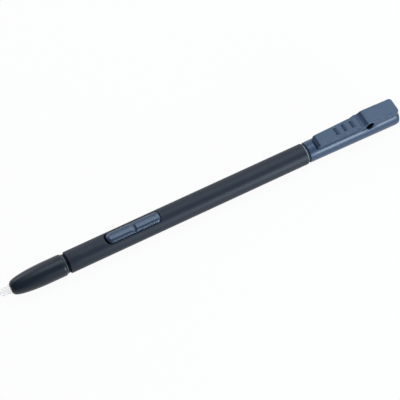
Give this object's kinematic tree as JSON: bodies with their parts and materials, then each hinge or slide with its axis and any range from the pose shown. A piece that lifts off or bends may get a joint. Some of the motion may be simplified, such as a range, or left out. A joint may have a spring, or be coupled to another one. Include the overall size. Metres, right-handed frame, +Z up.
{
  "type": "tablet computer stylus",
  "caption": "Slim round digitizer pen with a sliding pressure nib, a rocking side switch, and a tail moulding with a spring clip arm, a thumb step and a tether hole.",
  "frame": {"origin": "on the surface that the pen rests on, below the middle of its length and of its width", "axes": "+X along the pen from the nib to the tail, +Z up through the switch and the clip arm, +Y to the left seen from the nib"},
  "size_m": [0.142, 0.0078, 0.0097],
  "materials": {
    "nib_resin": "translucent white moulded resin",
    "holder_resin": "natural moulded resin",
    "nose_plastic": "charcoal, satin gloss",
    "collar_plastic": "charcoal, satin",
    "barrel_coat": "charcoal soft-touch coat with a fine grain",
    "switch_plastic": "slate blue, semi-gloss",
    "pin_steel": "ground",
    "tail_plastic": "slate blue, semi-gloss",
    "seal_rubber": "black",
    "former_resin": "natural amber resin",
    "ferrite": "sintered, dark grey",
    "copper": "enamelled copper wire",
    "lead_enamel": "red enamel",
    "housing_resin": "grey moulded resin",
    "conductive_rubber": "carbon-filled",
    "disc_ceramic": "unglazed, off-white",
    "contact_brass": "stamped",
    "carrier_plastic": "black moulded",
    "board_laminate": "green solder mask",
    "dome_steel": "polished spring steel",
    "chip_epoxy": "black epoxy",
    "trimmer_ceramic": "glazed cream",
    "capacitor_ceramic": "tan ceramic",
    "cushion_foam": "closed-cell foam"
  },
  "bodies": {
    "pen_body": {"nose_cone": "nose_plastic", "nose_collar": "collar_plastic", "barrel": "barrel_coat", "switch_pin": "pin_steel", "tail_cap": "tail_plastic", "tail_seal": "seal_rubber", "coil_former": "former_resin", "ferrite_core": "ferrite", "coil_winding": "copper", "coil_leads": "lead_enamel", "sensor_housing": "housing_resin", "sensor_rubber": "conductive_rubber", "dielectric_disc": "disc_ceramic", "sensor_terminal": "contact_brass", "board_carrier": "carrier_plastic", "circuit_board": "board_laminate", "front_dome": "dome_steel", "rear_dome": "dome_steel", "control_chip": "chip_epoxy", "trimmer": "trimmer_ceramic", "chip_capacitors": "capacitor_ceramic", "rear_cushion": "cushion_foam"},
    "nib": {"nib": "nib_resin", "nib_holder": "holder_resin"},
    "side_switch": {"side_switch": "switch_plastic"},
    "clip": {"clip_arm": "tail_plastic"}
  },
  "joints": [
    {"name": "nib_slide", "type": "slide", "parent": "pen_body", "child": "nib", "axis": [1, 0, 0], "range_m": [0, 0.0004], "stiffness_N_per_m": 400, "deforming": ["sensor_rubber"]},
    {"name": "switch_rock", "type": "hinge", "parent": "pen_body", "child": "side_switch", "pos_m": [-0.02495, 0, 0.0054], "axis": [0, 1, 0], "range_deg": [-2.2, 2.2], "stiffness_Nm_per_rad": 0.12, "deforming": ["front_dome", "rear_dome"]},
    {"name": "clip_flex", "type": "hinge", "parent": "pen_body", "child": "clip", "pos_m": [0.0564, 0, 0.00802], "axis": [0, 1, 0], "range_deg": [0, 3], "stiffness_Nm_per_rad": 0.4}
  ]
}
